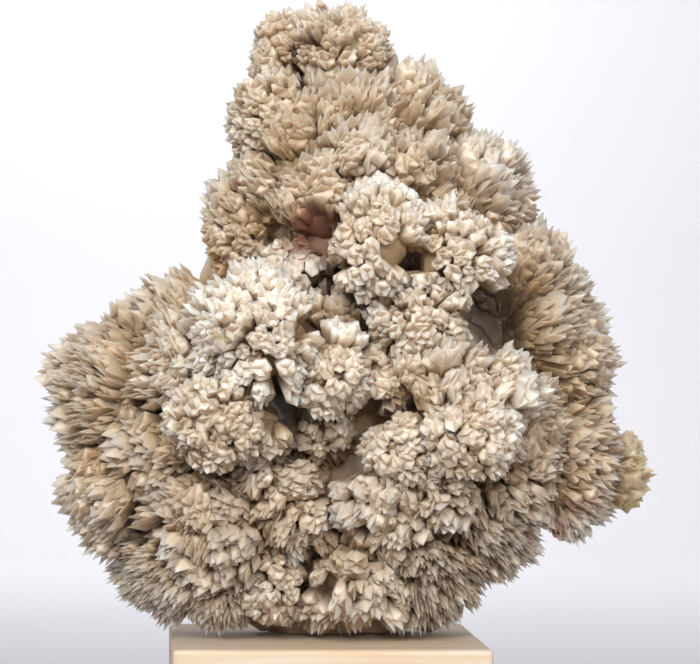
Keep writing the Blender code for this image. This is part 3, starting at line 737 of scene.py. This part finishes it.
def place_core(own, core, collection):
    """The solid body of a spray, with its stem run back into the mass."""
    direction, radius = own["direction"], own["radius"]
    body = HABITS[own["habit"]]
    middle = own["root"] + direction * (body["core_middle"] * radius)
    turn = direction.to_track_quat("Z", "Y")
    girth, height = body["core_girth"] * radius * MM, body["core_height"] * radius * MM
    matrix = (
        Matrix.Translation(middle * MM) @ turn.to_matrix().to_4x4() @ Matrix.Diagonal((girth, girth, height, 1.0))
    )
    obj = copy_of(core, own["name"] + "_core", matrix, collection)
    lowest = min(obj.data.vertices, key=lambda vert: (vert.co - own["heart"] * MM).dot(direction))
    stem_end = own["heart"] - direction * own["stem"]
    stem_end.y = max(stem_end.y, MASS_MIDDLE)
    lowest.co = stem_end * MM
    return obj


def make_lump(name, middle, half_sizes, generator, collection):
    """One rough lump of the mass that the sprays grow from."""
    deselect_all()
    bpy.ops.mesh.primitive_ico_sphere_add(subdivisions=4, radius=1.0)
    obj = bpy.context.object
    obj.name = name
    offset = Vector([generator.uniform(0.0, 50.0) for _ in range(3)])
    for vert in obj.data.vertices:
        place = Vector([c + v * h for c, v, h in zip(middle, vert.co, half_sizes)])
        swell = 1.0 + 0.12 * noise.noise(place * 0.16 + offset)
        outward = Vector([v / h for v, h in zip(vert.co, half_sizes)]).normalized()
        # Blunt blocks about 5 mm across, with broken edges about 1.5 mm apart
        block = 0.45 - noise.voronoi(place * 0.2 + offset)[0][0]
        relief = 2.6 * block + 0.7 * noise.noise(place * 0.7 + offset)
        body = Vector([c + v * h * swell for c, v, h in zip(middle, vert.co, half_sizes)])
        vert.co = (body + outward * relief) * MM
    mark_growth(obj)
    obj.data.attributes["growth"].data.foreach_set("value", np.zeros(len(obj.data.vertices), np.float32))
    for owner in list(obj.users_collection):
        owner.objects.unlink(obj)
    collection.objects.link(obj)
    return obj


def trim_level(obj):
    """Cut the lowest crystals level, a gap above the stand."""
    deselect_all()
    top = STAND_TOP + REST_GAP
    bpy.ops.mesh.primitive_cube_add(size=1.0, location=(0.0, 0.0, top - 0.5 * TRIM_DEPTH))
    slab = bpy.context.object
    slab.scale = (TRIM_SPAN, TRIM_SPAN, TRIM_DEPTH)
    bpy.ops.object.transform_apply(location=True, rotation=True, scale=True)
    cut = obj.modifiers.new("level_rest", "BOOLEAN")
    cut.operation = "DIFFERENCE"
    cut.object = slab
    cut.solver = SOLVER
    make_active(obj)
    bpy.ops.object.modifier_apply(modifier=cut.name)
    remove([slab])


def mark_place_on_spray(obj, facts):
    """Keep how far out from its spray's root each corner lies, as a share of the spray's reach."""
    mesh = obj.data
    places = np.zeros(len(mesh.vertices) * 3, np.float32)
    mesh.vertices.foreach_get("co", places)
    places = places.reshape(-1, 3) / MM
    # Away from every spray it is the bare mass
    bare, fade = 0.4, math.radians(18.0)
    growth = np.full(len(places), bare, np.float32)
    nearest = np.full(len(places), 4.0 + bare, np.float32)
    frost = np.full(len(places), FROST["fan"], np.float32)
    for own in facts:
        away = places - np.array(own["root"], np.float32)
        distance = np.linalg.norm(away, axis=1)
        facing = away @ np.array(own["direction"], np.float32) / np.maximum(distance, 1e-6)
        outside = np.clip((np.arccos(np.clip(facing, -1.0, 1.0)) - own["open"] - RIM_SPAN) / fade, 0.0, 1.0)
        share = distance / own["reach"]
        rank = np.minimum(share, 3.0) + 4.0 * outside
        own_frost = OWN_FROST.get(own["name"], FROST[own["habit"]])
        frost = np.where(rank < nearest, own_frost * (1.0 - outside) + FROST["fan"] * outside, frost)
        kept = (1.0 - outside) * np.clip((1.5 - share) / 0.38, 0.0, 1.0)
        growth = np.where(rank < nearest, np.minimum(share, 1.12) * kept + bare * (1.0 - kept), growth)
        nearest = np.minimum(nearest, rank)
    mesh.attributes["growth"].data.foreach_set("value", growth.astype(np.float32))
    whiteness = mesh.attributes.new("frost", "FLOAT", "POINT")
    whiteness.data.foreach_set("value", frost.astype(np.float32))


def even_rays(count):
    """Unit vectors spread evenly over a sphere."""
    golden = math.pi * (3.0 - math.sqrt(5.0))
    rays = []
    for index in range(count):
        height = 1.0 - 2.0 * (index + 0.5) / count
        flat = math.sqrt(1.0 - height * height)
        rays.append(Vector((flat * math.cos(golden * index), flat * math.sin(golden * index), height)))
    return rays


def mark_openness(objects, count, reach):
    """Keep how open each corner lies: 0 deep between crystals, 1 where nothing stands within reach."""
    places, polygons = [], []
    for obj in objects:
        start = len(places)
        places.extend(vert.co.copy() for vert in obj.data.vertices)
        polygons.extend([start + i for i in face.vertices] for face in obj.data.polygons)
    tree = BVHTree.FromPolygons(places, polygons)
    rays = even_rays(2 * count)
    for obj in objects:
        values = np.zeros(len(obj.data.vertices), np.float32)
        for index, vert in enumerate(obj.data.vertices):
            normal = vert.normal
            start = vert.co + normal * (0.08 * MM)
            total = weight = 0.0
            for ray in rays:
                facing = ray.dot(normal)
                if facing <= 0.05:
                    continue
                weight += facing
                distance = tree.ray_cast(start, ray, reach)[3]
                total += facing * (1.0 if distance is None else distance / reach)
            values[index] = total / weight if weight else 0.0
        edges = np.zeros(len(obj.data.edges) * 2, np.int32)
        obj.data.edges.foreach_get("vertices", edges)
        first, second = edges[0::2], edges[1::2]
        for _ in range(SHADE_SMOOTHING):
            sums, counts = values.copy(), np.ones_like(values)
            np.add.at(sums, first, values[second])
            np.add.at(sums, second, values[first])
            np.add.at(counts, first, 1.0)
            np.add.at(counts, second, 1.0)
            values = (sums / counts).astype(np.float32)
        attribute = obj.data.attributes.new("open", "FLOAT", "POINT")
        attribute.data.foreach_set("value", values)


def add_node(tree, kind, settings=None, inputs=None):
    """Add a node, set its properties, and set or link its inputs."""
    node = tree.nodes.new(kind)
    for name, value in (settings or {}).items():
        setattr(node, name, value)
    for name, value in (inputs or {}).items():
        socket = node.inputs[name]
        if isinstance(value, bpy.types.NodeSocket):
            tree.links.new(value, socket)
        else:
            socket.default_value = value
    return node


def new_material(name):
    material = bpy.data.materials.new(name)
    material.use_nodes = True
    tree = material.node_tree
    tree.nodes.clear()
    shader = add_node(tree, "ShaderNodeBsdfPrincipled")
    add_node(tree, "ShaderNodeOutputMaterial", inputs={"Surface": shader.outputs["BSDF"]})
    return material, tree, shader


def patch_mask(tree, where, patches):
    """A mask that is 1 at the middle of each patch and fades out over its radius."""
    mask = None
    for x, y, z, radius in patches:
        apart = add_node(
            tree, "ShaderNodeVectorMath", {"operation": "DISTANCE"}, {0: where, 1: (x * MM, y * MM, z * MM)}
        ).outputs["Value"]
        patch = add_node(
            tree,
            "ShaderNodeMapRange",
            {"interpolation_type": "SMOOTHSTEP"},
            {"Value": apart, "From Min": 1.3 * radius * MM, "From Max": 0.25 * radius * MM},
        ).outputs["Result"]
        if mask is None:
            mask = patch
        else:
            mask = add_node(tree, "ShaderNodeMath", {"operation": "MAXIMUM"}, {0: mask, 1: patch}).outputs["Value"]
    return mask


def calcite_material(settings):
    """Milky calcite, natural crystal faces: cloudy, so light spreads under the faces, with a glassy skin."""
    material, tree, shader = new_material("milky calcite, natural crystal faces")
    where = add_node(tree, "ShaderNodeTexCoord").outputs["Object"]
    growth = add_node(tree, "ShaderNodeAttribute", {"attribute_name": "growth"}).outputs["Fac"]
    openness = add_node(tree, "ShaderNodeAttribute", {"attribute_name": "open"}).outputs["Fac"]
    tone = add_node(tree, "ShaderNodeAttribute", {"attribute_name": "tone"}).outputs["Fac"]
    # A crystal is stained, and painted with shade, for its first three quarters and clears to milky white at its tip
    cleared = add_node(
        tree,
        "ShaderNodeMapRange",
        {"interpolation_type": "SMOOTHSTEP"},
        {"Value": growth, "From Min": 0.52, "From Max": 1.06},
    ).outputs["Result"]
    frost = add_node(tree, "ShaderNodeAttribute", {"attribute_name": "frost"}).outputs["Fac"]
    frosted = add_node(
        tree,
        "ShaderNodeMapRange",
        None,
        {"Value": frost, "From Min": 0.0, "From Max": 2.0, "To Min": 0.45, "To Max": 1.85},
    ).outputs["Result"]
    cleared = add_node(
        tree, "ShaderNodeMath", {"operation": "MULTIPLY", "use_clamp": True}, {0: cleared, 1: frosted}
    ).outputs["Value"]
    body = add_node(
        tree,
        "ShaderNodeMix",
        {"data_type": "RGBA"},
        {"Factor": cleared, "A": (*settings.root_stain_and_shade_colour, 1.0), "B": (*settings.tip_colour, 1.0)},
    )
    # Painted shade, partly stain: corners with little open space around them, deep between crystals, are painted the
    # crevice colour
    shaded = add_node(
        tree,
        "ShaderNodeMapRange",
        {"interpolation_type": "SMOOTHSTEP"},
        {"Value": openness, "From Min": 0.05, "From Max": 0.46},
    ).outputs["Result"]
    deep = add_node(
        tree,
        "ShaderNodeMix",
        {"data_type": "RGBA"},
        {"Factor": shaded, "A": (*settings.crevice_stain_and_shade_colour, 1.0), "B": body.outputs[2]},
    )
    # Painted shade: the faces that look down are painted a darker warm tint, as if shaded from the light above
    up = add_node(
        tree, "ShaderNodeSeparateXYZ", None, {"Vector": add_node(tree, "ShaderNodeNewGeometry").outputs["Normal"]}
    ).outputs["Z"]
    painted_shade = add_node(
        tree,
        "ShaderNodeMapRange",
        {"interpolation_type": "SMOOTHSTEP"},
        {"Value": up, "From Min": 0.15, "From Max": -0.75, "To Min": 0.0, "To Max": 0.6},
    ).outputs["Result"]
    underside_shaded = add_node(
        tree,
        "ShaderNodeMix",
        {"data_type": "RGBA"},
        {"Factor": painted_shade, "A": deep.outputs[2], "B": (*linear("#8F7250"), 1.0)},
    )
    # Iron stains and painted shade, in patches whose edges wander by a millimetre or so
    wander = add_node(
        tree, "ShaderNodeTexNoise", None, {"Vector": where, "Scale": 1.0 / (2.5 * MM), "Detail": 2.0}
    ).outputs["Color"]
    wandered = add_node(
        tree,
        "ShaderNodeVectorMath",
        {"operation": "MULTIPLY_ADD"},
        {0: wander, 1: (4.0 * MM, 4.0 * MM, 4.0 * MM), 2: where},
    ).outputs["Vector"]
    wandered = add_node(
        tree, "ShaderNodeVectorMath", {"operation": "SUBTRACT"}, {0: wandered, 1: (2.0 * MM, 2.0 * MM, 2.0 * MM)}
    ).outputs["Vector"]
    stained = underside_shaded.outputs[2]
    for colour, strength, patches in STAINS_AND_SHADE.values():
        mask = patch_mask(tree, wandered, patches)
        factor = add_node(tree, "ShaderNodeMath", {"operation": "MULTIPLY"}, {0: mask, 1: strength}).outputs["Value"]
        stained = add_node(
            tree,
            "ShaderNodeMix",
            {"data_type": "RGBA"},
            {"Factor": factor, "A": stained, "B": (*linear(colour), 1.0)},
        ).outputs[2]
    # Cloudy zones of growth, about 6 mm across
    cloud = add_node(
        tree, "ShaderNodeTexNoise", None, {"Vector": where, "Scale": 1.0 / (6.0 * MM), "Detail": 3.0}
    ).outputs["Fac"]
    uneven = add_node(tree, "ShaderNodeMath", {"operation": "ADD"}, {0: cloud, 1: tone}).outputs["Value"]
    level = add_node(
        tree,
        "ShaderNodeMapRange",
        None,
        {"Value": uneven, "From Min": 0.4, "From Max": 1.6, "To Min": 0.86, "To Max": 1.06},
    ).outputs["Result"]
    colour = add_node(
        tree,
        "ShaderNodeMix",
        {"data_type": "RGBA", "blend_type": "MULTIPLY"},
        {"Factor": 1.0, "A": stained, "B": level},
    )
    tree.links.new(colour.outputs[2], shader.inputs["Base Color"])
    # Etched patches beside glassy ones, about 1.5 mm across
    etch = add_node(
        tree, "ShaderNodeTexNoise", None, {"Vector": where, "Scale": 1.0 / (1.5 * MM), "Detail": 2.0}
    ).outputs["Fac"]
    gloss = add_node(
        tree,
        "ShaderNodeMapRange",
        None,
        {"Value": etch, "From Min": 0.40, "From Max": 0.62, "To Min": 0.10, "To Max": 0.42},
    ).outputs["Result"]
    # The stained roots are dull
    skin = add_node(
        tree, "ShaderNodeMix", {"data_type": "FLOAT"}, {"Factor": cleared, "A": 0.65, "B": gloss}
    ).outputs["Result"]
    tree.links.new(skin, shader.inputs["Roughness"])
    # Small growth steps on the faces, about 0.7 mm apart
    steps = add_node(
        tree, "ShaderNodeTexNoise", None, {"Vector": where, "Scale": 1.0 / (0.7 * MM), "Detail": 2.0}
    ).outputs["Fac"]
    bump = add_node(
        tree, "ShaderNodeBump", None, {"Strength": 0.6, "Distance": 0.16 * MM, "Height": steps}
    ).outputs["Normal"]
    tree.links.new(bump, shader.inputs["Normal"])
    shader.inputs["IOR"].default_value = 1.6
    shader.inputs["Subsurface Weight"].default_value = 1.0
    shader.inputs["Subsurface Radius"].default_value = (1.0, 0.85, 0.70)
    shader.inputs["Subsurface Scale"].default_value = 4.0 * MM
    return material


def wood_material(settings):
    """Sawn and sanded pale wood: fine rings cut lengthwise, matt, with a little fuzz in the grain."""
    material, tree, shader = new_material("pale wood, sawn and sanded")
    where = add_node(tree, "ShaderNodeTexCoord").outputs["Object"]
    # The rings run along x and lie about 1.6 mm apart
    long_way = add_node(
        tree, "ShaderNodeMapping", None, {"Vector": where, "Scale": (0.05, 0.6, 1.0)}
    ).outputs["Vector"]
    rings = add_node(
        tree, "ShaderNodeTexNoise", None, {"Vector": long_way, "Scale": 1.0 / (1.6 * MM), "Detail": 4.0}
    ).outputs["Fac"]
    ringed = add_node(
        tree, "ShaderNodeMapRange", None, {"Value": rings, "From Min": 0.35, "From Max": 0.7}
    ).outputs["Result"]
    colour = add_node(
        tree,
        "ShaderNodeMix",
        {"data_type": "RGBA"},
        {"Factor": ringed, "A": (*settings.wood_colour, 1.0), "B": (*settings.grain_colour, 1.0)},
    )
    tree.links.new(colour.outputs[2], shader.inputs["Base Color"])
    bump = add_node(
        tree, "ShaderNodeBump", None, {"Strength": 0.4, "Distance": 0.1 * MM, "Height": rings}
    ).outputs["Normal"]
    tree.links.new(bump, shader.inputs["Normal"])
    shader.inputs["Roughness"].default_value = 0.62
    return material


class SPECIMEN_OT_grow_calcite(bpy.types.Operator):
    """Grow the calcite mass: rough lumps, spray bodies and crystals joined as closed skins"""

    bl_idname = "specimen.grow_calcite"
    bl_label = "Grow calcite"

    def execute(self, context):
        settings = context.scene.calcite_settings
        generator = random.Random(SEED)
        crystals = {name: model_crystal(name, shape) for name, shape in CRYSTALS.items()}
        core = model_core("core")
        facts = [spray_facts(spray) for spray in SPRAYS]
        material = calcite_material(settings)
        pieces = []
        for name, low, high in REGIONS:
            growth = bpy.data.collections.new(name + "_growth")
            context.scene.collection.children.link(growth)
            parts = []
            for index, (middle, half_sizes) in enumerate(LUMPS):
                if low <= middle[2] < high:
                    parts.append(make_lump(f"{name}_lump_{index}", middle, half_sizes, generator, growth))
            for own in facts:
                if low <= own["heart"].z < high:
                    parts.append(place_core(own, core, growth))
                    parts.extend(place_crystals(own, facts, crystals, settings, generator, growth))
            base = parts.pop(0)
            growth.objects.unlink(base)
            context.scene.collection.objects.link(base)
            base.name = name
            grow_together(base, parts, growth)
            bpy.data.collections.remove(growth)
            if low == 0.0:
                trim_level(base)
            base.data.materials.clear()
            base.data.materials.append(material)
            for face in base.data.polygons:
                face.material_index = 0
            make_active(base)
            bpy.ops.object.shade_smooth_by_angle(angle=SOFT_EDGE)
            mark_place_on_spray(base, facts)
            pieces.append(base)
        remove([*crystals.values(), core])
        # How open each corner lies sets where shade is painted into the calcite's colour
        mark_openness(pieces, settings.light_rays, SHADE_REACH * MM)
        for piece in pieces:
            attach(piece, "root")
            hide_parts("calcite_crystals")
        return {"FINISHED"}


class SPECIMEN_OT_finish_stand(bpy.types.Operator):
    """Finish the wooden stand with its grain"""

    bl_idname = "specimen.finish_stand"
    bl_label = "Finish stand"

    def execute(self, context):
        stand = frame["nodes"]["wooden_stand"]
        material = wood_material(context.scene.stand_settings)
        for slot in stand.material_slots:
            slot.material = material
        return {"FINISHED"}


def area_light(name, place, target, size, power, colour):
    deselect_all()
    bpy.ops.object.light_add(type="AREA", location=place)
    lamp = bpy.context.object
    lamp.name = name
    lamp.rotation_euler = (Vector(target) - Vector(place)).to_track_quat("-Z", "Y").to_euler()
    lamp.data.size = size
    lamp.data.energy = power
    lamp.data.color = colour
    return lamp


class SPECIMEN_OT_set_stage(bpy.types.Operator):
    """Set the pale sweep, the soft lights and the camera"""

    bl_idname = "specimen.set_stage"
    bl_label = "Set stage"

    def execute(self, context):
        settings = context.scene.stage_settings
        deselect_all()
        bpy.ops.mesh.primitive_plane_add(size=1.0, location=(0.0, 0.0, 0.0))
        sweep = context.object
        sweep.name = "sweep"
        sweep.scale = (2.4, 1.5, 1.0)
        bpy.ops.object.transform_apply(location=True, rotation=True, scale=True)
        bpy.ops.object.mode_set(mode="EDIT")
        bpy.ops.mesh.select_mode(type="EDGE")
        bm = bmesh.from_edit_mesh(sweep.data)
        for edge in bm.edges:
            edge.select_set(all(vert.co.y > 0.7 for vert in edge.verts))
        bmesh.update_edit_mesh(sweep.data)
        steps, rise = 10, 0.25
        for index in range(steps):
            low, high = (0.5 * math.pi * k / steps for k in (index, index + 1))
            forward = rise * (math.sin(high) - math.sin(low))
            upward = rise * (math.cos(low) - math.cos(high))
            bpy.ops.mesh.extrude_region_move(TRANSFORM_OT_translate={"value": (0.0, forward, upward)})
        bpy.ops.mesh.extrude_region_move(TRANSFORM_OT_translate={"value": (0.0, 0.0, 1.2)})
        bpy.ops.mesh.select_all(action="SELECT")
        bpy.ops.mesh.normals_make_consistent(inside=False)
        bpy.ops.object.mode_set(mode="OBJECT")
        bpy.ops.object.shade_smooth()
        material, tree, shader = new_material("matt paper sweep")
        shader.inputs["Base Color"].default_value = (*settings.backdrop_colour, 1.0)
        shader.inputs["Roughness"].default_value = 0.9
        sweep.data.materials.append(material)
        # Beside and above the camera, at the left
        area_light("key", (-0.11, -0.43, 0.30), (0.0, -0.01, 0.08), 0.24, settings.key_power, (1.0, 0.985, 0.96))
        # A small lamp by the camera, for glints
        area_light("glint", (0.05, -0.45, 0.16), (0.0, -0.01, 0.08), 0.04, 0.45, (1.0, 0.98, 0.95))
        area_light("fill", (0.14, -0.45, 0.09), (0.0, -0.01, 0.05), 0.24, 0.7, (1.0, 0.98, 0.96))
        area_light("top", (-0.05, 0.0, 0.62), (0.0, 0.0, 0.08), 0.5, 0.5, (1.0, 1.0, 1.0))
        area_light("backdrop", (-0.18, 0.40, 0.75), (0.0, 0.95, 0.42), 0.6, 4.8, (0.98, 0.99, 1.0))
        world = bpy.data.worlds.new("studio")
        context.scene.world = world
        world.use_nodes = True
        world.node_tree.nodes["Background"].inputs["Color"].default_value = (1.0, 1.0, 1.0, 1.0)
        world.node_tree.nodes["Background"].inputs["Strength"].default_value = 0.40
        context.scene.view_settings.view_transform = "Standard"
        deselect_all()
        bpy.ops.object.camera_add(location=(0.0034, -0.304, 0.054), rotation=(math.radians(90.0), 0.0, 0.0))
        camera = context.object
        camera.name = "camera"
        camera.data.sensor_width = 36.0
        camera.data.lens = 75.8
        camera.data.shift_y = 148.0 / 700.0
        camera.data.clip_start = 0.01
        camera.data.clip_end = 20.0
        context.scene.camera = camera
        return {"FINISHED"}


class SPECIMEN_PT_panel(bpy.types.Panel):
    """The specimen's sizes, colours and steps"""

    bl_idname = "SPECIMEN_PT_panel"
    bl_label = "Calcite specimen"
    bl_space_type = "VIEW_3D"
    bl_region_type = "UI"
    bl_category = "Specimen"

    def draw(self, context):
        scene = context.scene
        for group in (scene.calcite_settings, scene.stand_settings, scene.stage_settings):
            for name in group.__annotations__:
                self.layout.prop(group, name)
        for operator in (SPECIMEN_OT_grow_calcite, SPECIMEN_OT_finish_stand, SPECIMEN_OT_set_stage):
            self.layout.operator(operator.bl_idname)


CLASSES = (
    CalciteSettings,
    StandSettings,
    StageSettings,
    SPECIMEN_OT_grow_calcite,
    SPECIMEN_OT_finish_stand,
    SPECIMEN_OT_set_stage,
    SPECIMEN_PT_panel,
)


def register():
    for entry in CLASSES:
        bpy.utils.register_class(entry)
    bpy.types.Scene.calcite_settings = PointerProperty(type=CalciteSettings)
    bpy.types.Scene.stand_settings = PointerProperty(type=StandSettings)
    bpy.types.Scene.stage_settings = PointerProperty(type=StageSettings)


def unregister():
    del bpy.types.Scene.stage_settings
    del bpy.types.Scene.stand_settings
    del bpy.types.Scene.calcite_settings
    for entry in reversed(CLASSES):
        bpy.utils.unregister_class(entry)


def main():
    register()
    bpy.ops.specimen.grow_calcite()
    bpy.ops.specimen.finish_stand()
    bpy.ops.specimen.set_stage()


if __name__ == "__main__":
    main()
